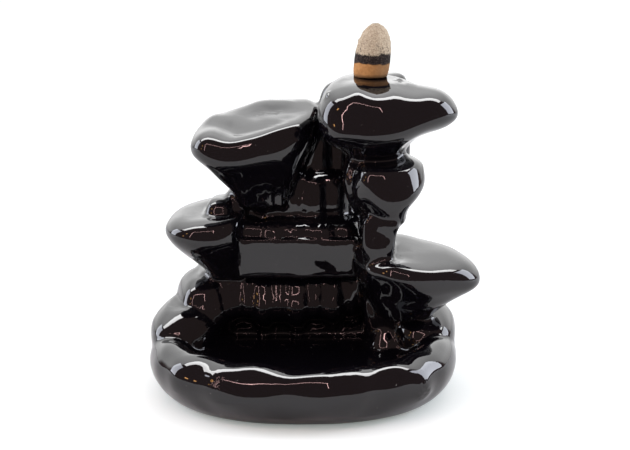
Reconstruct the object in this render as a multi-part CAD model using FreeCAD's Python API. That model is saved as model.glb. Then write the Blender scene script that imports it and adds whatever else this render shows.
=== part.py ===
import FreeCAD, Part
import math
import os
from FreeCAD import Vector

# A backflow incense burner: one slip-cast, glazed ceramic body in the form of a stepped rock
# waterfall over an oval pool, and a backflow cone standing on its highest rock.
# Millimetres, +Z up, +Y towards the back, origin at the middle of the foot.

# Pool tray
tray_length = 117.0
tray_depth = 100.0
tray_squareness = 2.25
rim_height = 23.6
rim_width = 14.0
pool_floor_height = 16.8

# Foot and casting
foot_inset = 13.0
foot_rise = 2.0
wall = 4.0
pour_hole_diameter = 9.0
pour_hole_back = 22.0

# The waterfall stands this far in front of the back edge of the tray
fall_setback = 50.0

# Heights of the brows that the water falls from, lowest first
pool_fall_height = 44.5
ledge_height = 65.8
middle_fall_height = 83.0
head_height = 106.5

# Heights of the rocks' tops
left_top_height = 105.0
high_top_height = 120.8
left_shelf_height = 69.0
right_lobe_height = 91.0
block_height = 74.0
right_shelf_height = 57.5
left_boulder_height = 42.5
left_shore_height = 33.5
right_shore_height = 32.5

# Seat of the cone and the way that its smoke takes to the head of the fall
seat_x = 25.4
seat_y = 12.0
seat_drop = 0.3
seat_margin = 1.2
smoke_hole_diameter = 5.0
smoke_hole_depth = 11.0

# Backflow cone
cone_diameter = 13.0
cone_height = 19.9
cone_hole_diameter = 3.0
cone_hole_depth = 9.0

fall_y = tray_depth / 2 - fall_setback


def through_points(points):
    """Poles of a closed uniform cubic whose knots lie on the given points."""
    count = len(points)
    poles = list(points)
    for _ in range(24):
        on_curve = []
        for i in range(count):
            before = poles[i - 1]
            after = poles[(i + 1) % count]
            on_curve.append((before + poles[i] * 4 + after) * (1 / 6))
        poles = [poles[i] + (points[i] - on_curve[i]) * 1.2 for i in range(count)]
    return poles


def skin(rings):
    """Closed solid over rings of points, smooth around and from ring to ring, flat at both ends."""
    cage = [through_points(ring) for ring in rings]
    around = len(cage[0])
    along = len(cage)
    poles = [[cage[j][i] for j in range(along)] for i in range(around)]
    surface = Part.BSplineSurface()
    surface.buildFromPolesMultsKnots(
        poles,
        [1] * (around + 1),
        [4] + [1] * (along - 4) + [4],
        list(range(around + 1)),
        list(range(along - 2)),
        True,
        False,
        3,
        3,
    )
    side = surface.toShape()
    ends = [Part.Face(Part.Wire([e])) for e in side.Edges if e.isClosed() and not e.isSeam(side)]
    shell = Part.Compound([side] + ends).copy()
    shell.sewShape()
    solid = Part.Solid(shell)
    if solid.Volume < 0:
        solid.reverse()
    return solid


def stone(top, outline, root, levels, lean=(0.0, 0.0), sag=(0.0, 0.0)):
    """A rock: its widest outline, drawn in towards its root at each level.

    A level is the drop below the top, the spread about the root and the share of the lean.
    Past the sag's first value along X the top droops by the square of the distance. Its ends stay flat."""
    rings = []
    for index, (drop, spread, share) in enumerate(levels):
        curl = sag[1] if 0 < index < len(levels) - 1 else 0.0
        ring = []
        for x, y in outline:
            px = root[0] + spread * (x - root[0])
            py = root[1] + spread * (y - root[1])
            droop = curl * max(0.0, px - sag[0]) ** 2
            rise = share * (lean[0] * (px - root[0]) + lean[1] * (py - root[1]) - droop)
            ring.append(Vector(px, py + fall_y, top - drop + rise))
        rings.append(ring)
    return skin(rings)


def water_fall(left, right, back, levels, round_off=3.0):
    """The smooth body behind a sheet of falling water. A level is a height and the front's place there."""
    middle = (left + right) / 2
    rings = []
    for height, front in levels:
        behind = max(back, front + 8)
        depth = behind - front
        points = [
            (left, front + round_off), (left + 6, front + 0.8), (middle, front), (right - 6, front + 0.8),
            (right, front + round_off), (right + 1, front + depth * 0.6), (right - 3, behind),
            (middle, behind + 1), (left + 3, behind), (left - 1, front + depth * 0.6),
        ]
        rings.append([Vector(x, y + fall_y, height) for x, y in points])
    return skin(rings)


def strands(left, right, shares, jut, levels, round_off=3.0):
    """Upright strands of water side by side, each with its share of the width and its own jut and hang."""
    total = sum(share for share, _, _ in shares)
    middle = (left + right) / 2
    half = (right - left) / 2
    made = []
    x = left
    for share, forward, hang in shares:
        width = (right - left) * share / total
        centre = x + width / 2
        x = x + width
        away = round_off * abs((centre - middle) / half) ** 3
        depth = min(width, 6) * 0.62
        rings = []
        for index, (height, front, fullness) in enumerate(levels):
            z = height - hang * (1 - index / (len(levels) - 1))
            ring = []
            for step in range(8):
                angle = math.pi * step / 4
                px = centre + 0.57 * width * fullness * math.cos(angle)
                py = front + away - jut - forward + depth + depth * fullness * math.sin(angle)
                ring.append(Vector(px, py + fall_y, z))
            rings.append(ring)
        made.append(skin(rings))
    return made


def tray_ring(height, inset):
    """Superelliptic outline of the tray at one height, drawn in from its widest line."""
    a = tray_length / 2 - inset
    b = tray_depth / 2 - inset
    ring = []
    for i in range(16):
        angle = math.pi * i / 8
        c = math.cos(angle)
        s = math.sin(angle)
        reach = (abs(c) ** tray_squareness + abs(s) ** tray_squareness) ** (-1 / tray_squareness)
        ring.append(Vector(a * reach * c, b * reach * s, height))
    return ring


def tray():
    levels = [
        (0, foot_inset + 1), (0, foot_inset - 2), (foot_rise, foot_inset - 6.5), (foot_rise + 5, 1.5),
        (rim_height - 9.6, -0.9), (rim_height - 4, 0.2), (rim_height + 0.3, rim_width * 0.3),
        (rim_height + 0.9, rim_width * 0.68), (rim_height - 2.5, rim_width),
        (pool_floor_height, rim_width + 3), (pool_floor_height, rim_width + 7),
    ]
    return skin([tray_ring(height, inset) for height, inset in levels])


def rocks():
    top_left = stone(
        left_top_height,
        [(-42, 5), (-36, -7), (-19, -6), (-3, -1), (5, 12), (3, 33), (-16, 36), (-35, 26)],
        (-12, 10),
        [
            (34, 0.36, 0), (28.5, 0.47, 0), (22.2, 0.63, 0.2), (16, 0.88, 0.5), (10.2, 1.03, 0.9), (4, 1.01, 1),
            (1, 0.84, 1), (1.6, 0.5, 1),
        ],
        (0.22, 0.10),
    )
    top = stone(
        high_top_height,
        [(9.5, -6.5), (15.5, -13), (27, -16), (41, -13), (55, -4), (52, 12), (38, 25), (18, 26), (8, 8)],
        (25, 8),
        [
            (32.5, 0.4, 0), (28, 0.54, 0), (22.5, 0.82, 0.15), (17, 1.0, 0.35), (11, 1.03, 0.7),
            (4.5, 0.97, 1), (1.6, 0.78, 1), (0.6, 0.48, 0.6),
        ],
        (-0.04, 0.06),
        (28, 0.0085),
    )
    left_shelf = stone(
        left_shelf_height,
        [(-52, 8), (-46, -4), (-35, -7), (-26, -3), (-22, 9), (-22, 34), (-36, 36), (-48, 26)],
        (-22, 12),
        [
            (26, 0.46, 0), (22, 0.56, 0), (16, 0.80, 0.4), (9.5, 1.0, 0.7), (4.5, 1.05, 1), (0.8, 0.97, 1),
            (-0.5, 0.78, 1), (0, 0.5, 1),
        ],
        (0.06, 0.06),
    )
    left_hump = stone(
        left_shelf_height + 5,
        [(-37.5, 10), (-36, 4.5), (-31, 3), (-27.5, 6), (-27.5, 16), (-34, 20)],
        (-31, 12),
        [(10, 1.0, 0), (7, 1.03, 0), (4, 1.0, 0), (1.5, 0.86, 0), (0, 0.62, 0), (0, 0.4, 0)],
    )
    left_knob = stone(
        left_shelf_height + 8,
        [(-30.5, 14), (-29.5, 8.5), (-26, 7), (-23, 9.5), (-23, 18), (-28, 20)],
        (-26, 14),
        [(14, 1.1, 0), (9, 1.0, 0), (5, 1.0, 0), (2, 0.84, 0), (0.3, 0.6, 0), (0, 0.35, 0)],
    )
    right_lobe = stone(
        right_lobe_height,
        [(19, -6), (22, -14), (31, -16), (41, -11), (46, 1), (41, 14), (30, 18), (19, 9)],
        (29, -6),
        [
            (24, 0.3, 0), (20, 0.42, 0), (15.5, 0.62, 0), (10.8, 0.9, 0.5), (6, 1.03, 1), (1.8, 0.93, 1),
            (0.3, 0.7, 1), (0.8, 0.45, 1),
        ],
        (0.0, 0.06),
    )
    right_fin = stone(
        right_lobe_height + 1,
        [(15.5, 4), (16, -3), (18, -5), (21, -2), (22, 8), (18, 12)],
        (24, 4),
        [(24, 0.2, 0), (19, 0.5, 0), (13, 0.82, 0), (7, 1.02, 0), (2, 0.98, 0), (0, 0.8, 0), (0, 0.5, 0)],
    )
    block = stone(
        block_height,
        [(22, -7), (23.5, -12.3), (32.5, -12.3), (34.5, -7), (34, 5), (23, 5)],
        (28.5, -4),
        [(20, 0.8, 0), (16, 0.9, 0), (13, 1.02, 0), (6, 1.04, 0), (2, 0.95, 0), (0, 0.75, 0), (0, 0.45, 0)],
    )
    right_shelf = stone(
        right_shelf_height,
        [(20, -3), (27, -15), (38, -21), (54, -17), (66, -4), (60, 11), (42, 21), (23, 14)],
        (36, -4),
        [
            (27, 0.42, 0), (22.5, 0.56, 0), (17.5, 0.80, 0.3), (11.5, 1.0, 0.7), (7, 1.03, 1),
            (2.5, 0.92, 1), (0.5, 0.7, 1), (0.8, 0.45, 1), (1, 0.2, 1),
        ],
        (-0.2, 0.12),
    )
    right_pier = stone(
        right_shelf_height - 2,
        [(20, 8), (23, 1), (32, -3), (43, -2), (47, 12), (28, 22)],
        (36, 11),
        [(46, 0.85, 0), (34, 0.74, 0), (20, 0.8, 0), (8, 1.0, 0), (0, 0.9, 0), (0, 0.5, 0)],
    )
    crag = stone(
        high_top_height - 3,
        [(6, 26), (14, 22), (30, 21), (40, 24), (41, 30), (34, 35), (20, 37), (9, 33)],
        (24, 29),
        [(32, 1.0, 0), (18, 1.03, 0), (6, 0.97, 0.6), (2, 0.9, 1), (0, 0.78, 1), (0, 0.5, 1)],
        (0.13, 0.0),
    )
    return [
        top_left, top, left_shelf, left_hump, left_knob, right_lobe, right_fin, block, right_shelf,
        right_pier, crag,
    ]


def boulders():
    left = -tray_length / 2
    right = tray_length / 2
    left_boulder = stone(
        left_boulder_height,
        [
            (left + 10, 12), (left + 13, 3), (left + 20, 1), (left + 27, 5), (left + 32, 16),
            (left + 26, 29), (left + 14, 30), (left + 9, 22),
        ],
        (left + 20, 15),
        [(24, 0.9, 0), (18, 0.98, 0), (11, 1.05, 0), (5, 0.98, 0.4), (1, 0.80, 1), (-0.2, 0.5, 1)],
        (0.12, 0.1),
    )
    left_shore = stone(
        left_shore_height,
        [
            (left - 0.5, 3), (left + 3, -8), (left + 12, -11), (left + 22, -4), (left + 25, 10),
            (left + 18, 24), (left + 7, 24), (left + 1, 14),
        ],
        (left + 12, 6),
        [(26, 0.85, 0), (20, 0.95, 0), (14, 1.03, 0), (8, 1.0, 0.4), (3, 0.84, 1), (0.5, 0.5, 1)],
        (0.1, 0.12),
    )
    right_shore = stone(
        right_shore_height,
        [
            (right - 26, 8), (right - 21, -4), (right - 12, -9), (right - 3, -5), (right + 0.5, 7),
            (right - 2, 20), (right - 14, 28), (right - 26, 22),
        ],
        (right - 13, 8),
        [(24, 0.85, 0), (18, 0.95, 0), (12, 1.03, 0), (7, 1.0, 0.4), (2.5, 0.84, 1), (0.3, 0.5, 1)],
        (-0.05, 0.15),
    )
    shore_point = stone(
        pool_floor_height + 9.5,
        [
            (right - 34, 2), (right - 30, -4), (right - 24, -4), (right - 20, 2), (right - 22, 12),
            (right - 31, 12),
        ],
        (right - 26, 5),
        [(12, 1.1, 0), (9, 1.02, 0), (6, 0.85, 0), (3, 0.62, 0), (1, 0.42, 0), (0, 0.25, 0)],
    )
    return [left_boulder, left_shore, right_shore, shore_point]


def falls():
    floor = pool_floor_height
    low = pool_fall_height
    ledge = ledge_height
    middle = middle_fall_height
    head = head_height
    sheets = [
        water_fall(-40, 24, 30, [
            (floor - 5, 17), (floor, 16), (floor + 6, 13.5), (floor + 11, 10), (low - 11, 6.5),
            (low - 6, 5.8), (low - 2, 7), (low - 0.5, 10), (low, 15), (low, 20),
        ], 5),
        water_fall(-27, 21, 28, [
            (low - 3, 16), (low + 0.5, 10.5), (low + 6, 7), (ledge - 10, 3.6), (ledge - 6, 1.6),
            (ledge - 2, 1.6), (ledge, 5), (ledge, 10),
        ], 4),
        water_fall(-26, 18, 30, [
            (ledge - 4, 13), (ledge + 1, 12), (ledge + 7, 10.8), (middle - 5, 10.2), (middle - 1, 11),
            (middle, 14), (middle, 19),
        ], 4),
        water_fall(-5, 20, 30, [
            (middle - 4, 17), (middle + 1, 16), (middle + 9, 15.6), (head - 6, 16.6), (head - 1, 18),
            (head, 21), (head, 25),
        ], 3),
    ]
    water = strands(-37, 22, [
        (5, -0.3, 0), (7, 0.4, 2.5), (5.5, -0.2, 0.5), (7.5, 0.3, 4), (5, -0.2, 1.5), (8, 0.5, 3.5),
        (6, -0.3, 1), (7.5, 0.4, 3), (6.5, 0.1, 2),
    ], 0.9, [
        (low - 24, 15, 0.6), (low - 19, 11.5, 0.95), (low - 15, 8, 1), (low - 10, 5.8, 1),
        (low - 5.5, 5.2, 1), (low - 2.2, 6.4, 1), (low - 0.6, 9, 0.8), (low - 0.4, 10, 0.5),
    ], 4)
    water += strands(-24, 20, [
        (6, -0.2, 0), (8, 0.3, 1.5), (6, -0.2, 0.5), (8.5, 0.4, 2), (6.5, 0.1, 1),
    ], 1.0, [
        (ledge - 14, 8, 0.5), (ledge - 9, 4, 0.85), (ledge - 5.5, 1.6, 1), (ledge - 2.5, 1.4, 1),
        (ledge - 0.5, 3.5, 1), (ledge + 0.3, 6, 0.6),
    ], 3)
    water += strands(-26, 17, [
        (7, -0.2, 0), (9, 0.3, 0), (6.5, -0.3, 0), (9.5, 0.3, 0), (7.5, 0, 0),
    ], 1.0, [
        (ledge - 4, 13, 1), (ledge + 1, 11.8, 1), (ledge + 7, 10.6, 1), (middle - 6, 10, 1),
        (middle - 2, 10.6, 1), (middle + 0.2, 14, 0.6),
    ], 4)
    water += strands(-7, 19, [(7, 0, 0), (8.5, 0.3, 0), (7.5, 0.1, 0)], 0.9, [
        (middle - 4, 17, 1), (middle + 1, 15.8, 1), (middle + 9, 15.4, 1), (head - 7, 16.2, 1),
        (head - 2, 17.6, 1), (head + 0.2, 21, 0.6),
    ], 3)
    return sheets + water


# Rough rounded outline of the cliff behind the falls, in shares of its width and depth
cliff_outline = [
    (0.0, 0.4), (0.1, 0.02), (0.5, 0.0), (0.9, 0.02), (1.0, 0.4), (0.95, 0.82), (0.76, 0.93), (0.5, 1.0),
    (0.24, 0.94), (0.05, 0.8),
]

# The cliff's levels: share of its height, left, right, front and back
cliff_levels = [
    (0.0, -42, 36, 16, 43), (0.09, -42, 36, 16, 44), (0.22, -40, 36, 16, 42), (0.36, -36, 34, 18, 43),
    (0.52, -33, 33, 18, 40), (0.66, -27, 33, 18, 40), (0.80, -20, 35, 20, 38), (0.92, -14, 34, 22, 36),
    (0.98, -8, 31, 24, 34), (1.0, -2, 26, 26, 32), (1.0, 5, 20, 28, 30),
]


def cliff():
    """The rocky core behind the falls, from the foot up to the head of the fall."""
    lowest = wall
    highest = head_height - 1
    rings = []
    for share, left, right, front, back in cliff_levels:
        z = lowest + share * (highest - lowest)
        width = right - left
        depth = back - front
        rings.append([Vector(left + width * u, front + depth * v + fall_y, z) for u, v in cliff_outline])
    return skin(rings)


def oval(x, y, half_width, half_depth, z):
    """Closed wire in the form of an ellipse, wider along X."""
    curve = Part.Ellipse(Vector(x, y, z), half_width, half_depth)
    return Part.Wire([curve.toShape()])


def casting_hollow():
    """The hollows that the slip was drained from: under the pool, up the rim and up inside the cliff."""
    a = tray_length / 2
    b = tray_depth / 2
    ceiling = pool_floor_height - wall
    floor_inset = foot_inset + wall / 2
    under_pool = Part.makeLoft([
        oval(0, 0, a - floor_inset, b - floor_inset, wall),
        oval(0, 0, a - wall - 3, b - wall - 3, wall + 4),
        oval(0, 0, a - wall, b - wall, ceiling),
    ], True, True)
    rim_inner = rim_width - wall / 2
    up_rim = Vector(0, 0, rim_height - wall - ceiling + 1)
    rim_outside = Part.Face(oval(0, 0, a - wall - 1, b - wall - 1, ceiling - 1)).extrude(up_rim)
    rim_inside = Part.Face(oval(0, 0, a - rim_inner, b - rim_inner, ceiling - 1)).extrude(up_rim)
    inner = wall + 1
    sections = []
    for share, left, right, front, back in cliff_levels[1:8:2]:
        z = wall + share * (head_height - 1 - wall)
        width = right - left - 2 * inner
        depth = back - front - 2 * inner
        corners = [
            Vector(left + inner + width * u, front + inner + depth * v + fall_y, z)
            for u, v in cliff_outline
        ]
        sections.append(Part.makePolygon(corners + corners[:1]))
    in_cliff = Part.makeLoft(sections, True, True)
    return [under_pool, rim_outside.cut(rim_inside), in_cliff]


def smoke_way(seat_height):
    """A bore down from the seat, and a passage from its foot to the head of the top fall."""
    seat = Vector(seat_x, seat_y + fall_y, seat_height)
    bore = Part.makeCylinder(smoke_hole_diameter / 2, smoke_hole_depth, seat, Vector(0, 0, -1))
    foot = seat - Vector(0, 0, smoke_hole_depth - smoke_hole_diameter / 2)
    outlet = Vector(2, 20 + fall_y, head_height + smoke_hole_diameter / 2 + 0.5)
    run = outlet - foot
    passage = Part.makeCylinder(smoke_hole_diameter / 2, run.Length, foot, run)
    elbow = Part.makeSphere(smoke_hole_diameter / 2, foot)
    pad = Part.makeCylinder(cone_diameter / 2 + seat_margin, 20, seat)
    return [bore, passage, elbow, pad]


def pour_hole():
    return Part.makeCylinder(pour_hole_diameter / 2, wall + 3, Vector(0, pour_hole_back, -1))


def burner_body(seat_height):
    water = falls()
    water = water[0].multiFuse(water[1:])
    rock = cliff().multiFuse(rocks())
    body = tray().multiFuse(boulders()).fuse(water).fuse(rock)
    for tool in casting_hollow() + smoke_way(seat_height) + [pour_hole()]:
        body = body.cut(tool)
    return body


def incense_cone(seat_height):
    half = cone_diameter / 2
    h = cone_height
    profile = [
        (half * 0.93, 0), (half, h * 0.22), (half * 0.985, h * 0.47), (half * 0.87, h * 0.68),
        (half * 0.62, h * 0.87), (half * 0.3, h * 0.975), (0, h),
    ]
    curve = Part.BSplineCurve()
    curve.interpolate([Vector(r, 0, z) for r, z in profile])
    top = Vector(0, 0, h)
    edge = Vector(half * 0.93, 0, 0)
    foot = Vector(0, 0, 0)
    wire = Part.Wire([curve.toShape(), Part.makeLine(top, foot), Part.makeLine(foot, edge)])
    cone = Part.Face(wire).revolve(foot, Vector(0, 0, 1), 360)
    cone = cone.cut(Part.makeCylinder(cone_hole_diameter / 2, cone_hole_depth))
    cone.translate(Vector(seat_x, seat_y + fall_y, seat_height))
    return cone


seat_height = high_top_height - seat_drop
body = burner_body(seat_height)
cone = incense_cone(seat_height)
os.makedirs("parts", exist_ok=True)
body.exportStep("parts/burner_body.step")
cone.exportStep("parts/incense_cone.step")
print("body", len(body.Solids), body.isValid(), round(body.Volume / 1000, 1), "cm3", body.BoundBox)
print("cone", cone.isValid(), round(cone.Volume / 1000, 2))
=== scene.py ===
import math
import bpy
import numpy as np
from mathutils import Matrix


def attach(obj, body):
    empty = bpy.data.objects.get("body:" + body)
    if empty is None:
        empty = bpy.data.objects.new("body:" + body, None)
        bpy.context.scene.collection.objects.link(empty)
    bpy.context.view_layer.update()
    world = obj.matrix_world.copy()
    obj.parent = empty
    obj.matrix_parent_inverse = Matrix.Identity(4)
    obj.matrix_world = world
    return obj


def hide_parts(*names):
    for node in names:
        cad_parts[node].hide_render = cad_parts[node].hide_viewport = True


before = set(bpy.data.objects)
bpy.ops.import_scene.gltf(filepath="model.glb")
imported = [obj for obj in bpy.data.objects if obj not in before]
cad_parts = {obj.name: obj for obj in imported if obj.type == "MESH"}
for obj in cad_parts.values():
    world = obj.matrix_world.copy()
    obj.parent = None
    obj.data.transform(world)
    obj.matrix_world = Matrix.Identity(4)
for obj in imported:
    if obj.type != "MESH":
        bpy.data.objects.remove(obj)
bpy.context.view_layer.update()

import openvdb
from mathutils import Matrix, Vector


# A value or colour on its way through a material. Sums and products add their own Math nodes.
class Channel:
    def __init__(self, sheet, socket):
        self.sheet = sheet
        self.socket = socket

    def maths(self, operation, other, swapped=False):
        first, second = (other, self) if swapped else (self, other)
        return self.sheet.add("ShaderNodeMath", {"operation": operation}, {0: first, 1: second})

    def __add__(self, other):
        return self.maths("ADD", other)

    def __sub__(self, other):
        return self.maths("SUBTRACT", other)

    def __rsub__(self, other):
        return self.maths("SUBTRACT", other, swapped=True)

    def __mul__(self, other):
        return self.maths("MULTIPLY", other)

    # 0 below the first value, 1 above the second, smooth between
    def rise(self, low, high):
        ranges = {"From Min": low, "From Max": high, "To Min": 0.0, "To Max": 1.0, "Value": self}
        return self.sheet.add("ShaderNodeMapRange", {"interpolation_type": "SMOOTHSTEP"}, ranges)


# One material or world and its nodes
class Sheet:
    def __init__(self, owner):
        owner.use_nodes = True
        self.tree = owner.node_tree
        self.tree.nodes.clear()

    def add(self, kind, settings, values, output=0):
        node = self.tree.nodes.new(kind)
        for name, value in settings.items():
            setattr(node, name, value)
        for name, value in values.items():
            if isinstance(value, Channel):
                self.tree.links.new(value.socket, node.inputs[name])
            else:
                node.inputs[name].default_value = value
        return Channel(self, node.outputs[output]) if len(node.outputs) else node

    def place(self):
        return self.add("ShaderNodeTexCoord", {}, {}, "Object")

    def axes(self, vector):
        node = self.add("ShaderNodeSeparateXYZ", {}, {0: vector}).socket.node
        return [Channel(self, node.outputs[i]) for i in range(3)]

    def noise(self, vector, scale, detail=2.0, roughness=0.5):
        values = {"Vector": vector, "Scale": scale, "Detail": detail, "Roughness": roughness}
        return self.add("ShaderNodeTexNoise", {}, values, "Fac")

    def blend(self, factor, first, second):
        values = {0: factor, 6: self.colour(first), 7: self.colour(second)}
        return self.add("ShaderNodeMix", {"data_type": "RGBA"}, values, 2)

    def colour(self, value):
        return value if isinstance(value, Channel) else (*value, 1.0)

    def bump(self, height, distance):
        values = {"Height": height, "Distance": distance, "Strength": 1.0}
        return self.add("ShaderNodeBump", {}, values)


# Makes a mesh from whole arrays of points and faces, smooth, with its own normals where they are given
def makeMesh(name, points, faces, normals=None):
    mesh = bpy.data.meshes.new(name)
    sides = faces.shape[1]
    mesh.vertices.add(len(points))
    mesh.vertices.foreach_set("co", points.astype(np.float32).ravel())
    mesh.loops.add(faces.size)
    mesh.loops.foreach_set("vertex_index", faces.astype(np.int32).ravel())
    mesh.polygons.add(len(faces))
    mesh.polygons.foreach_set("loop_start", np.arange(0, faces.size, sides, dtype=np.int32))
    mesh.polygons.foreach_set("use_smooth", np.ones(len(faces), bool))
    mesh.update(calc_edges=True)
    mesh.validate()
    if normals is not None:
        mesh.normals_split_custom_set_from_vertices(normals.astype(np.float32))
    piece = bpy.data.objects.new(name, mesh)
    bpy.context.scene.collection.objects.link(piece)
    return piece


# The casting under its glaze. Lengths in millimetres, as the potter would give them.
glaze = {
    "weldWidth": 0.002,
    "grain": 0.5,  # size of the cells that the glazed skin is worked out on
    "cornerRadius": 0.9,  # the glaze pools in every corner to about this radius
    "softening": 3,  # passes of the smoothing that rounds the outer edges
    "waveDepth": 0.13,  # waviness of the fired skin
    "waveLengths": (9.0, 24.0),
    "waveFoot": (1.5, 5.5),  # the foot stays flat: the waves grow between these heights
    "rimWave": 0.9,  # the front of the rim is wavier
    "rimWaveLengths": (13.0, 30.0),
    "rimFront": (25.0, 37.0),  # its waves grow between these distances to the front
    "rimHeight": (5.0, 11.0),  # and between these heights
    "skinDepth": 1.6,  # waves and dents are worked out this far on both sides of the skin
    "flatness": 0.04,  # how far flat stretches are drawn with larger faces, 0 to 1
    "pourHole": (0.0, 22.0, 4.5),  # place and radius of the hole in the foot
    "pourHoleDepth": 9.0,
    "floorTop": 8.0,  # the wall of the pour hole ends below this height
}


# Share of the way from low to high, 0 below and 1 above
def share(values, low, high):
    return np.clip((values - low) / (high - low), 0.0, 1.0)


# Welds the loose triangles of a model into one skin: corners in the same cell of the weld width become
# one point, and faces that shrink to nothing are dropped
def welded(piece):
    mesh = piece.data
    mesh.calc_loop_triangles()
    points = np.empty(len(mesh.vertices) * 3, np.float64)
    mesh.vertices.foreach_get("co", points)
    corners = np.empty(len(mesh.loop_triangles) * 3, np.int32)
    mesh.loop_triangles.foreach_get("vertices", corners)
    points = points.reshape(-1, 3) * 1000.0
    keys = np.round(points / glaze["weldWidth"]).astype(np.int64)
    _, first, inverse = np.unique(keys, axis=0, return_index=True, return_inverse=True)
    faces = inverse.ravel()[corners].reshape(-1, 3)
    whole = (faces[:, 0] != faces[:, 1]) & (faces[:, 1] != faces[:, 2]) & (faces[:, 0] != faces[:, 2])
    return points[first], faces[whole]


# Numbers every vertex by the lowest vertex it hangs together with: the lowest number in each face
# is passed to its corners until nothing changes.
def skinNumbers(count, faces):
    number = np.arange(count)
    while True:
        fresh = number.copy()
        np.minimum.at(fresh, faces.ravel(), np.repeat(number[faces].min(axis=1), 3))
        fresh = fresh[fresh]
        if np.array_equal(fresh, number):
            return number
        number = fresh


# The outside of the casting alone: the wall of the pour hole is taken out, which parts the outside from
# the hollow, and a fan of faces closes the hole in the foot.
def outerSkin(points, faces):
    holeX, holeY, holeRadius = glaze["pourHole"]
    middle = points[faces].mean(axis=1)
    normal = np.cross(points[faces[:, 1]] - points[faces[:, 0]], points[faces[:, 2]] - points[faces[:, 0]])
    upright = np.abs(normal[:, 2]) < 0.3 * np.linalg.norm(normal, axis=1)
    near = np.hypot(middle[:, 0] - holeX, middle[:, 1] - holeY) < holeRadius + 0.2
    faces = faces[~(near & upright & (middle[:, 2] < glaze["floorTop"]))]
    number = skinNumbers(len(points), faces)
    top = points[:, 2].argmax()
    faces = faces[number[faces[:, 0]] == number[top]]
    starts = faces.ravel()
    ends = np.roll(faces, -1, axis=1).ravel()
    key = starts.astype(np.int64) * len(points) + ends
    backKey = ends.astype(np.int64) * len(points) + starts
    rim = ~np.isin(backKey, key)
    points = np.vstack([points, [[holeX, holeY, 0.0]]])
    fan = np.column_stack([ends[rim], starts[rim], np.full(rim.sum(), len(points) - 1)])
    print("outer skin:", len(faces), "faces, rim of", int(rim.sum()), "edges")
    return points, np.vstack([faces, fan])


# Grid of distances from a skin, kept as far as the reach on both sides
def distanceGrid(points, triangles, quads, grain, reach):
    transform = openvdb.createLinearTransform(voxelSize=grain)
    return openvdb.FloatGrid.createLevelSetFromPolygons(
        points.astype(np.float32), triangles=triangles.astype(np.uint32), quads=quads.astype(np.uint32),
        transform=transform, halfWidth=reach / grain + 2.0)


# One pass of smoothing of a block of distances: along each axis in turn, each cell becomes a quarter
# of each neighbour and half of itself
def softened(block):
    for axis in range(3):
        ahead = np.roll(block, -1, axis)
        behind = np.roll(block, 1, axis)
        block = 0.5 * block + 0.25 * (ahead + behind)
    return block


# Distances of a block read off at any points: the eight cells around each, weighted by their nearness
def readOff(block, low, grain, points):
    place = points / grain - low
    cell = np.clip(np.floor(place).astype(np.int64), 0, np.array(block.shape) - 2)
    part = place - cell
    total = np.zeros(len(points))
    for corner in np.ndindex(2, 2, 2):
        weight = np.prod(np.where(corner, part, 1.0 - part), axis=1)
        i, j, k = (cell + corner).T
        total += weight * block[i, j, k]
    return total


# Way in which the distances grow at each point, which is the skin's normal: the distance a little ahead
# less the distance a little behind, along each axis, brought to length one
def wayOut(block, low, grain, points):
    step = 0.8 * grain
    slope = np.empty_like(points)
    for axis in range(3):
        shift = np.zeros(3)
        shift[axis] = step
        ahead = readOff(block, low, grain, points + shift)
        slope[:, axis] = ahead - readOff(block, low, grain, points - shift)
    return slope / np.maximum(np.linalg.norm(slope, axis=1), 1e-9)[:, None]


# The glazed skin: the distance from the casting is grown by the corner radius and drawn back by the same,
# which fills every corner with a round fillet. The apron is joined on by the smaller of both distances.
# The block is softened, waved and dented, and skinned again where the distance is nothing.
def glazedSkin(points, faces):
    noQuads = np.empty((0, 4), np.uint32)
    radius = glaze["cornerRadius"]
    grain = glaze["grain"]
    bare = distanceGrid(points, faces, noQuads, grain, radius)
    grown, triangles, quads = bare.convertToPolygons(isovalue=radius)
    grid = distanceGrid(grown, triangles, quads, grain, radius + 1.0)
    low, high = [np.array(corner) for corner in grid.evalActiveVoxelBoundingBox()]
    low = low - 2
    start = tuple(int(v) for v in low)
    block = np.empty(high - low + 3, np.float32)
    grid.copyToArray(block, ijk=start)
    block = block + radius
    cells = np.stack(np.meshgrid(*[np.arange(n) for n in block.shape], indexing="ij"), axis=-1)
    cells = (cells.reshape(-1, 3) + low) * grain
    block = np.minimum(block, apronDistance(cells).reshape(block.shape).astype(np.float32))
    for step in range(glaze["softening"]):
        block = softened(block)
    near = np.nonzero(np.abs(block) < glaze["skinDepth"])
    cells = (np.column_stack(near) + low) * grain
    firm = share(cells[:, 2], *glaze["waveFoot"])
    block[near] -= firm * glaze["waveDepth"] * waviness(cells, glaze["waveLengths"], 4)
    block[near] += dented(cells)
    rim = share(-cells[:, 1], *glaze["rimFront"]) * share(cells[:, 2], *glaze["rimHeight"])
    block[near] -= rim * glaze["rimWave"] * waviness(cells, glaze["rimWaveLengths"], 21)
    block = drilled(block, low, grain)
    field = openvdb.FloatGrid(background=float(block.max()))
    field.transform = openvdb.createLinearTransform(voxelSize=grain)
    field.copyFromArray(block, ijk=start)
    skin, triangles, quads = field.convertToPolygons(isovalue=0.0, adaptivity=glaze["flatness"])
    faces = np.vstack([triangles, quads[:, [0, 1, 2]], quads[:, [0, 2, 3]]])
    skin = skin.astype(np.float64)
    normals = wayOut(block, low, grain, skin)
    for step in range(2):  # brings the points onto the skin, by at most a fifth of a millimetre a step
        off = readOff(block, low, grain, skin)
        skin = skin - normals * np.clip(off, -0.2, 0.2)[:, None]
    print("glazed skin:", len(skin), "vertices,", len(faces), "triangles")
    return skin, faces, wayOut(block, low, grain, skin)


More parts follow.
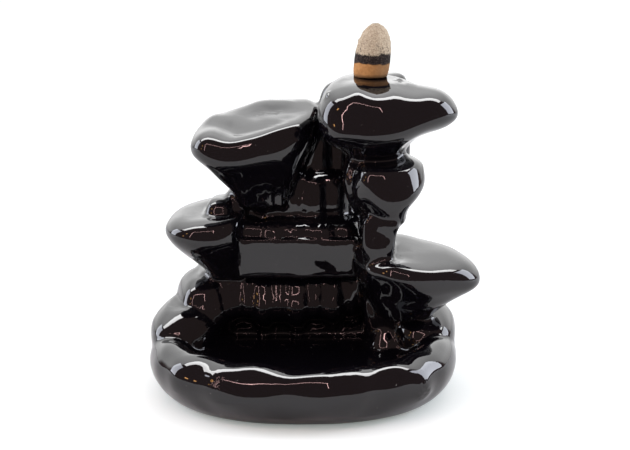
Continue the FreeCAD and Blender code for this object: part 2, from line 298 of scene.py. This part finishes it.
# Where the wet clay was pulled a little out of the modelled form, or pressed into it: place, reach along
# each axis and pull, in millimetres
pulls = [
    ((-43.0, 6.0, 96.0), (14.0, 22.0, 16.0), (0.0, 0.0, 5.2)),  # left top's tip
    ((-28.0, 22.0, 105.0), (22.0, 14.0, 9.0), (0.0, 0.0, 4.0)),  # left top's back
    ((-8.0, 28.0, 107.0), (14.0, 12.0, 8.0), (0.0, 0.0, 1.4)),  # left top beside the cliff
    ((-24.0, -4.0, 93.0), (18.0, 8.0, 7.0), (0.0, -1.2, 0.6)),  # left top's brow
    ((25.0, -9.0, 100.0), (24.0, 14.0, 8.0), (0.0, -2.4, -0.4)),  # high top's face
    ((9.0, -5.0, 104.0), (8.0, 14.0, 12.0), (-2.4, 0.0, -1.0)),  # high top's left end
    ((54.0, -2.0, 103.0), (19.0, 22.0, 16.0), (1.4, 0.0, 4.8)),  # high top's tip
    ((37.0, -6.0, 76.0), (16.0, 16.0, 9.0), (2.0, -2.5, -3.0)),  # right lobe
    ((18.0, -2.0, 80.0), (7.0, 9.0, 11.0), (-1.0, -3.5, -2.0)),  # right lobe's left cheek
    ((28.5, -8.0, 58.0), (10.0, 9.0, 7.0), (0.0, -0.5, -2.4)),  # block under the lobe
    ((42.0, -16.0, 43.0), (22.0, 12.0, 6.0), (0.0, 2.5, 0.5)),  # right shelf's face
    ((58.0, 2.0, 50.0), (14.0, 18.0, 12.0), (1.0, 0.0, 1.6)),  # right shelf's tip
    ((-6.0, 4.0, 27.5), (34.0, 10.0, 8.5), (0.0, -4.6, 0.0)),  # foot of the fall over the pool
    ((47.0, -2.0, 76.0), (10.0, 16.0, 6.0), (-3.6, 0.0, 0.0)),  # waist under the right lobe
    ((44.0, 2.0, 94.0), (8.0, 18.0, 4.5), (-4.0, 0.0, 0.0)),  # neck over the right lobe
    ((-4.0, 12.0, 69.0), (24.0, 8.0, 6.0), (0.0, -1.5, 0.0)),  # foot of the middle fall
    ((0.0, -47.0, 23.0), (50.0, 10.0, 8.0), (0.0, 0.0, -1.5)),  # front of the rim
]


# Each pull moves the points around its place. It is full in the middle and fades as the exponential of
# the fourth power of the distance, counted in reaches.
def pulled(points):
    moved = points.copy()
    for place, reach, pull in pulls:
        away = (((points - place) / reach) ** 2).sum(axis=1)
        moved += np.exp(-away ** 2)[:, None] * np.array(pull)
    return moved


# The smooth apron under the ledge, which leans out a little on its way up. Millimetres.
apron = {
    "left": -24.5,
    "right": 20.5,
    "foot": 44.0,
    "top": 60.0,
    "front": -0.4,  # how far back its top edge lies
    "lean": 0.10,
    "back": 16.0,
}


# Distance from the apron's slab: the farthest of the distances from its six sides
def apronDistance(cells):
    x, y, z = cells.T
    front = apron["front"] + apron["lean"] * (apron["top"] - z)
    sides = [front - y, y - apron["back"], apron["left"] - x, x - apron["right"],
             z - apron["top"], apron["foot"] - z]
    return np.max(sides, axis=0)


# Hollows and swellings of the skin: place, reach along each axis and depth, in millimetres
dents = [
    ((-12.5, 17.5, 103.0), (13.0, 6.5, 6.0), 1.45),  # dish in the left top
    ((-30.0, 8.0, 99.0), (8.0, 6.0, 6.0), 0.5),  # dish's left end
    ((-16.6, 9.0, 64.5), (5.0, 3.0, 3.0), 1.2),  # left end of the ledge
    ((-10.5, 2.0, 73.0), (0.9, 6.0, 7.0), 0.9),  # grooves between the lobes of the middle fall
    ((-6.0, 2.0, 73.0), (0.9, 6.0, 7.0), 0.9),
    ((-1.5, 2.0, 73.0), (0.9, 6.0, 7.0), 0.9),
    ((3.5, 2.0, 73.0), (0.9, 6.0, 7.0), 0.9),
    ((8.0, 2.0, 73.0), (0.9, 6.0, 7.0), 0.9),
    ((46.0, 0.0, 88.0), (6.0, 10.0, 4.0), 0.7),  # right lobe's shoulder
    ((14.0, 4.0, 120.0), (5.0, 7.0, 4.0), 0.6),  # hollows in the high top
    ((40.0, 6.0, 118.0), (7.0, 6.0, 5.0), 0.8),
    ((14.0, -9.0, 119.0), (2.5, 5.0, 4.0), 0.5),  # folds along the high top's brow
    ((20.0, -9.0, 119.0), (3.0, 5.0, 4.0), -0.7),
    ((27.0, -8.0, 118.5), (2.8, 6.0, 4.0), 0.6),
    ((34.0, -7.0, 117.5), (2.8, 6.0, 4.0), -0.5),
    ((42.0, -5.0, 116.0), (3.5, 6.0, 4.0), 0.4),
    ((36.2, 6.0, 120.6), (1.5, 1.6, 1.4), -0.9),  # drops of glaze on the high top
    ((8.6, -3.5, 117.0), (1.3, 1.5, 2.2), -0.9),
]


# Sum of the dents at each cell: each is deepest at its place and fades as a bell curve
def dented(cells):
    depth = np.zeros(len(cells))
    for place, reach, deep in dents:
        away = (((cells - place) / reach) ** 2).sum(axis=1)
        depth += deep * np.exp(-away)
    return depth


# Cuts the pour hole into the block of distances, as a round pit in the foot: the larger of the distance
# that was there and the way into the pit
def drilled(block, low, grain):
    margin = 2.0
    holeX, holeY, holeRadius = glaze["pourHole"]
    reach = int(math.ceil((holeRadius + margin) / grain))
    middle = np.round(np.array([holeX, holeY]) / grain).astype(int) - low[:2]
    top = int((glaze["pourHoleDepth"] + margin) / grain) - low[2]
    around = (slice(middle[0] - reach, middle[0] + reach),
              slice(middle[1] - reach, middle[1] + reach), slice(0, top))
    x, y, z = np.meshgrid(*[np.arange(s.start, s.stop) for s in around], indexing="ij")
    x = (x + low[0]) * grain - holeX
    y = (y + low[1]) * grain - holeY
    z = (z + low[2]) * grain
    pit = np.maximum(np.hypot(x, y) - holeRadius, z - glaze["pourHoleDepth"])
    block[around] = np.maximum(block[around], -pit)
    return block


# Sum of plane waves in every direction, each a sine of the distance along it
def waviness(points, lengths, seed, count=14):
    rng = np.random.default_rng(seed)
    way = rng.normal(size=(count, 3))
    way /= np.linalg.norm(way, axis=1)[:, None]
    length = rng.uniform(*lengths, count)
    start = rng.uniform(0, 2 * math.pi, count)
    return np.sin(points @ (way * 2 * math.pi / length[:, None]).T + start).sum(axis=1) / math.sqrt(count)


# The casting's outside, pulled and glazed. Its faces are turned to the outside by the side that the
# distances grow to.
def makeBurner():
    points, faces = outerSkin(*welded(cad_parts["burner_body"]))
    skin, faces, normals = glazedSkin(pulled(points), faces)
    side = np.cross(skin[faces[:, 1]] - skin[faces[:, 0]], skin[faces[:, 2]] - skin[faces[:, 0]])
    if (side * normals[faces[:, 0]]).sum() < 0:
        faces = faces[:, ::-1]
    piece = makeMesh("glazed_burner", skin / 1000.0, faces, normals)
    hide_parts("burner_body")
    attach(piece, "root")
    return piece


# The near-black glaze: its finish, and the bare clay of the foot
finish = {
    "colour": (0.0022, 0.0018, 0.0030),
    "clay": (0.16, 0.10, 0.065),
    "dust": (0.25, 0.24, 0.22),
    "roughness": 0.025,
    "clayRoughness": 0.7,  # clay and dust add this to the glaze's
    "dustRoughness": 0.4,
    "clayTop": 0.0012,  # the glaze was wiped off below this height, in metres
    "clayEdge": 0.0008,
    "clayRagged": 0.0012,
    "dustShare": (0.80, 0.84),  # only the peaks of the noise are specks of dust
    "rippleHeight": 0.00003,
}


# Black glass over the whole casting, bare clay under its foot and a few pale specks of dust
def glazeFinish():
    material = bpy.data.materials.new("black_glaze")
    sheet = Sheet(material)
    place = sheet.place()
    height = sheet.axes(place)[2]
    ragged = sheet.noise(place, 350.0, 3.0) * finish["clayRagged"]
    bare = 1.0 - (height + ragged).rise(finish["clayTop"], finish["clayTop"] + finish["clayEdge"])
    dust = sheet.noise(place, 1500.0, 1.0).rise(*finish["dustShare"])
    ripple = sheet.noise(place, 210.0, 2.0)
    fine = sheet.noise(place, 1400.0, 2.0)
    bump = sheet.bump(ripple + fine * 0.02 + bare * fine * 0.6, finish["rippleHeight"])
    colour = sheet.blend(bare, sheet.blend(dust, finish["colour"], finish["dust"]), finish["clay"])
    rough = bare * finish["clayRoughness"] + dust * finish["dustRoughness"] + finish["roughness"]
    shader = sheet.add("ShaderNodeBsdfPrincipled", {}, {
        "Base Color": colour, "Roughness": rough, "IOR": 1.52, "Normal": bump})
    sheet.add("ShaderNodeOutputMaterial", {}, {"Surface": shader})
    return material


burner = makeBurner()
burner.data.materials.append(glazeFinish())
print("burner made", len(burner.data.polygons))

# The burning cone: unburnt foot, charred band and grey ash above. Lengths in millimetres.
coneLook = {
    "middle": (25.4, 12.0),
    "foot": 120.5,
    "radius": 6.9,
    "height": 19.9,
    "footWidth": 0.93,  # shares of the radius and height: the side widens from the foot to the shoulder
    "shoulder": 0.22,
    "roundness": 2.7,  # 2 is an ellipse above the shoulder, more is fuller
    "charLow": 5.2,  # the charred band lies between these heights
    "charHigh": 8.8,
    "roughness": 0.10,
    "lean": 2.1,  # the burnt tip has sagged this far to the side
    "tan": [(0.22, 0.09, 0.03), (0.66, 0.34, 0.13)],
    "tanPaintedShade": (0.17, 0.10, 0.055),  # painted shade: the unburnt foot is painted a darker brown at its right, away from the light
    # the painted shade grows across these widths, in metres
    "paintedShadeFrom": (0.024, 0.031),
    # painted shade: the lowest part of the cone is painted darker where it stands on the rock
    "footPaintedShade": (0.09, 0.05, 0.025),
    "char": [(0.014, 0.010, 0.010), (0.11, 0.08, 0.07)],
    "ash": [(0.30, 0.235, 0.17), (0.58, 0.48, 0.36)],
    "speck": (0.05, 0.038, 0.03),  # dark specks in the lower ash
}


# A profile turned about the upright axis: around it runs the angle, along it the way from the foot's middle
# over the side to the tip. The side widens as a sine up to the shoulder, and closes above it as the root of
# one less a power of the height. The ash wanders by a sum of waves that grows towards the tip.
def makeCone():
    around = 128
    bend = np.linspace(0.0, 1.0, 90) ** 0.9
    quarter = math.pi / 2
    height = np.sin(bend * quarter)
    shoulder, narrow = coneLook["shoulder"], coneLook["footWidth"]
    above = share(height, shoulder, 1.0) ** coneLook["roundness"]
    width = np.where(height < shoulder, narrow + (1.0 - narrow) * np.sin(height / shoulder * quarter),
                     np.sqrt(1.0 - above))
    foot = np.array([[0.0, 0.0], [0.4, 0.0], [0.8, 0.0], [0.90, 0.0]])
    profile = np.vstack([foot, np.column_stack([width, height])])
    angle = np.arange(around) * 2 * math.pi / around
    radius = profile[:, 0:1] * coneLook["radius"]
    points = np.stack([radius * np.cos(angle), radius * np.sin(angle),
                       np.repeat(profile[:, 1:2] * coneLook["height"], around, axis=1)], axis=-1)
    rows, columns = np.meshgrid(np.arange(len(profile) - 1), np.arange(around), indexing="ij")
    first = (rows * around + columns).ravel()
    second = (rows * around + (columns + 1) % around).ravel()
    faces = np.column_stack([first, second, second + around, first + around])
    points = points.reshape(-1, 3)
    ash = share(points[:, 2], coneLook["charHigh"], coneLook["charHigh"] + 4.0)
    crumbs = waviness(points, (1.2, 3.5), 8) * (0.35 + ash)
    lumps = waviness(points, (3.0, 9.0), 9) * ash * 0.8
    rough = coneLook["roughness"] * (crumbs + lumps)
    out = points / np.array([1.0, 1.0, 2.0])
    out = out / np.maximum(np.linalg.norm(out, axis=1), 1e-6)[:, None]
    firm = share(points[:, 2], 0.0, 0.5)
    points = points + out * (rough * firm - 0.12)[:, None]  # the crumbs stay inside the pressed form
    points[:, 2] = np.maximum(points[:, 2], 0.0)
    points[:, 0] += coneLook["lean"] * points[:, 2] / coneLook["height"]
    points = points + np.array([*coneLook["middle"], coneLook["foot"]])
    piece = makeMesh("burning_cone", points / 1000.0, faces)
    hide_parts("incense_cone")
    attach(piece, "root")
    return piece


# Tan pressed powder, a charred band and grey ash, parted by height with a ragged edge, with painted shade on
# the right of the tan and at the foot
def coneFinish():
    material = bpy.data.materials.new("burnt_incense")
    sheet = Sheet(material)
    place = sheet.place()
    x, _, z = sheet.axes(place)
    height = (z - coneLook["foot"] * 0.001) * 1000.0
    wander = (sheet.noise(place, 260.0, 3.0) - 0.5) * 2.4
    grain = sheet.noise(place, 1900.0, 3.0, 0.6)
    blotch = sheet.noise(place, 620.0, 3.0, 0.6)
    level = height + wander
    char = level.rise(coneLook["charLow"] - 0.3, coneLook["charLow"] + 0.3)
    ashen = (level + (grain - 0.5) * 1.6).rise(coneLook["charHigh"] - 0.5, coneLook["charHigh"] + 0.6)
    tan = sheet.blend(blotch, *coneLook["tan"])
    # painted shade: the tan turns a darker brown towards the cone's right side, away from the light
    tan = sheet.blend(x.rise(*coneLook["paintedShadeFrom"]) * 0.6, tan, coneLook["tanPaintedShade"])
    black = sheet.blend(grain.rise(0.45, 0.80), *coneLook["char"])
    ash = sheet.blend(grain.rise(0.25, 0.80), *coneLook["ash"])
    speck = (1.0 - height.rise(10.0, 15.0)) * blotch.rise(0.56, 0.64)
    ash = sheet.blend(speck * 0.7, ash, coneLook["speck"])
    # painted shade: darkens the cone's lowest millimetre and a half, where it meets the rock
    foot = 1.0 - height.rise(0.3, 1.6)
    tan = sheet.blend(foot * 0.7, tan, coneLook["footPaintedShade"])
    colour = sheet.blend(ashen, sheet.blend(char, tan, black), ash)
    bump = sheet.bump(grain + blotch * 0.6, 0.00025)
    shader = sheet.add("ShaderNodeBsdfPrincipled", {}, {
        "Base Color": colour, "Roughness": 0.95, "Specular IOR Level": 0.2, "Normal": bump})
    sheet.add("ShaderNodeOutputMaterial", {}, {"Surface": shader})
    return material


cone = makeCone()
cone.data.materials.append(coneFinish())
print("cone made", len(cone.data.polygons))

# Camera at the photograph's angle
view = {
    "target": (0.0045, 0.0, 0.065526),
    "distance": 0.600,
    "elevation": 14.0,
    "lens": 90.7,
}


def placeCamera():
    lens = bpy.data.cameras.new("camera")
    lens.lens = view["lens"]
    lens.sensor_width = 36.0
    camera = bpy.data.objects.new("camera", lens)
    bpy.context.scene.collection.objects.link(camera)
    up = math.radians(view["elevation"])
    target = Vector(view["target"])
    camera.location = target + view["distance"] * Vector((0.0, -math.cos(up), math.sin(up)))
    camera.rotation_euler = (target - camera.location).to_track_quat("-Z", "Y").to_euler()
    bpy.context.scene.camera = camera


placeCamera()

# Studio: pale floor, white room behind, dim warm room in front, tall windows at the sides, a soft panel
# above, a thin bright frame over the camera and two small warm lamps. Places are azimuth and elevation in
# degrees from the object, azimuth 0 towards the camera and 90 to its right, and a distance in metres, then
# come the size and the brightness.
studio = {
    "floorWidth": 5.0,
    "floorFront": -0.15,  # the bright table ends here, towards the camera
    "floorColour": (0.9, 0.9, 0.9, 1.0),
    "floorGlow": (0.17, 0.20, 0.19),  # keeps the table white where the camera sees it
    "horizon": 1.5,  # brightness of the backdrop at the table, above it and high up
    "backdrop": 2.2,
    "backdropTop": 3.5,
    "horizonRise": (0.0, 0.25),  # heights, as sines of the elevation, between which it changes
    "topRise": (0.50, 0.85),
    "backdropTilt": 0.55,  # the backdrop leans over the object
    "backdropEdge": (0.50, 0.62),
    "frontRoom": (0.24, 0.17, 0.155),
    "ambient": 0.95,  # what the matt surfaces see all around
    "windows": [(-102.0, 18.0, 1.0, (0.40, 0.64), 7.0), (97.0, 18.0, 1.0, (0.42, 0.62), 8.0)],
    "windowColour": (0.86, 0.90, 1.0),
    "overhead": (180.0, 84.0, 1.2, (2.6, 0.30), 13.0),
    "frameColour": (1.0, 0.62, 0.60),
    "frameLight": 26.0,
    "frameLeft": -46.0,
    "frameRight": 12.0,
    "frameTop": 44.0,
    "frameFoot": 2.0,
    "frameShort": 16.0,  # its right side only hangs down this far
    "frameDistance": 1.1,
    "frameWidth": 0.014,
    "lamps": [(-62.0, 26.0, 1.0, (0.05, 0.09), 14.0), (-66.0, 8.0, 1.0, (0.045, 0.07), 14.0)],
    "lampColour": (1.0, 0.50, 0.16),
}
aim = Vector((0.0, 0.0, 0.07))


# Place of a lamp from its azimuth, elevation and distance
def spot(azimuth, elevation, distance):
    turn = math.radians(azimuth)
    rise = math.radians(elevation)
    way = Vector((math.sin(turn) * math.cos(rise), -math.cos(turn) * math.cos(rise), math.sin(rise)))
    return aim + distance * way


# A flat square of even steps, a tenth of a millimetre below the foot
def makeFloor():
    count = 41
    steps = np.linspace(0.0, 1.0, count)
    x, y = np.meshgrid(steps, steps, indexing="ij")
    wide = studio["floorWidth"]
    front = studio["floorFront"]
    points = np.column_stack([(x.ravel() - 0.5) * wide, front + y.ravel() * wide, np.full(x.size, -0.0001)])
    i, j = np.meshgrid(np.arange(count - 1), np.arange(count - 1), indexing="ij")
    corner = (i * count + j).ravel()
    faces = np.column_stack([corner, corner + count, corner + count + 1, corner + 1])
    floor = makeMesh("floor", points, faces)
    material = bpy.data.materials.new("pale_floor")
    sheet = Sheet(material)
    seen = sheet.add("ShaderNodeLightPath", {}, {}, "Is Camera Ray")
    shader = sheet.add("ShaderNodeBsdfPrincipled", {}, {
        "Base Color": studio["floorColour"], "Roughness": 0.9, "Specular IOR Level": 0.0,
        "Emission Color": sheet.blend(seen, (0.0, 0.0, 0.0), studio["floorGlow"]), "Emission Strength": 1.0})
    sheet.add("ShaderNodeOutputMaterial", {}, {"Surface": shader})
    floor.data.materials.append(material)


# A flat light that faces the object. Its radiance is the brightness.
def panel(name, place, size, brightness, colour=(1.0, 1.0, 1.0), along=None):
    light = bpy.data.lights.new(name, "AREA")
    light.shape = "RECTANGLE"
    light.size, light.size_y = size
    light.energy = brightness * math.pi * size[0] * size[1]
    light.color = colour
    holder = bpy.data.objects.new(name, light)
    bpy.context.scene.collection.objects.link(holder)
    holder.location = place
    turn = (aim - Vector(place)).to_track_quat("-Z", "Y")
    if along is not None:
        back = (Vector(place) - aim).normalized()
        side = (Vector(along) - back * Vector(along).dot(back)).normalized()
        turn = Matrix((side, back.cross(side), back)).transposed().to_quaternion()
    holder.rotation_euler = turn.to_euler()
    return holder


# A bar of light between two spots
def bar(name, start, end, width, brightness, colour):
    start = spot(*start)
    end = spot(*end)
    run = end - start
    return panel(name, (start + end) / 2, (run.length, width), brightness, colour, run)


def makeLights():
    for side, (*place, size, brightness) in zip(("left", "right"), studio["windows"]):
        panel(side + "_window", spot(*place), size, brightness, studio["windowColour"])
    *place, size, brightness = studio["overhead"]
    ceiling = panel("overhead", spot(*place), size, brightness)
    ceiling.visible_diffuse = False  # it only shows in the glaze
    left, right = studio["frameLeft"], studio["frameRight"]
    top, foot, away = studio["frameTop"], studio["frameFoot"], studio["frameDistance"]
    bars = [
        ((left, top, away), (right, top, away)),
        ((left, foot, away), (left, top, away)),
        ((right, top - studio["frameShort"], away), (right, top, away)),
    ]
    width, light, colour = studio["frameWidth"], studio["frameLight"], studio["frameColour"]
    for number, (start, end) in enumerate(bars):
        bar("frame_%d" % number, start, end, width, light, colour)
    for number, (*place, size, brightness) in enumerate(studio["lamps"]):
        panel("lamp_%d" % number, spot(*place), size, brightness, studio["lampColour"])


# Room seen in the glaze: white behind the object, dim and warm in front. The camera sees plain white.
def makeWorld():
    world = bpy.data.worlds.new("studio")
    bpy.context.scene.world = world
    sheet = Sheet(world)
    way = sheet.add("ShaderNodeTexCoord", {}, {}, "Generated")
    _, y, z = sheet.axes(way)
    behind = (y + z * studio["backdropTilt"]).rise(*studio["backdropEdge"])
    low = 1.0 - z.rise(*studio["topRise"])
    white = low * (studio["backdrop"] - studio["backdropTop"]) + studio["backdropTop"]
    white = white - (1.0 - z.rise(*studio["horizonRise"])) * (studio["backdrop"] - studio["horizon"])
    room = sheet.blend(behind, studio["frontRoom"], white)
    path = sheet.add("ShaderNodeLightPath", {}, {}, "Is Camera Ray")
    glossy = Channel(sheet, path.socket.node.outputs["Is Glossy Ray"])
    colour = sheet.blend(glossy, (studio["ambient"],) * 3, room)
    colour = sheet.blend(path, colour, (1.0, 1.0, 1.0))
    light = sheet.add("ShaderNodeBackground", {}, {"Color": colour, "Strength": 1.0})
    sheet.add("ShaderNodeOutputWorld", {}, {"Surface": light})


makeFloor()
makeWorld()
makeLights()
print("studio made")

bpy.context.scene.view_settings.view_transform = "Standard"
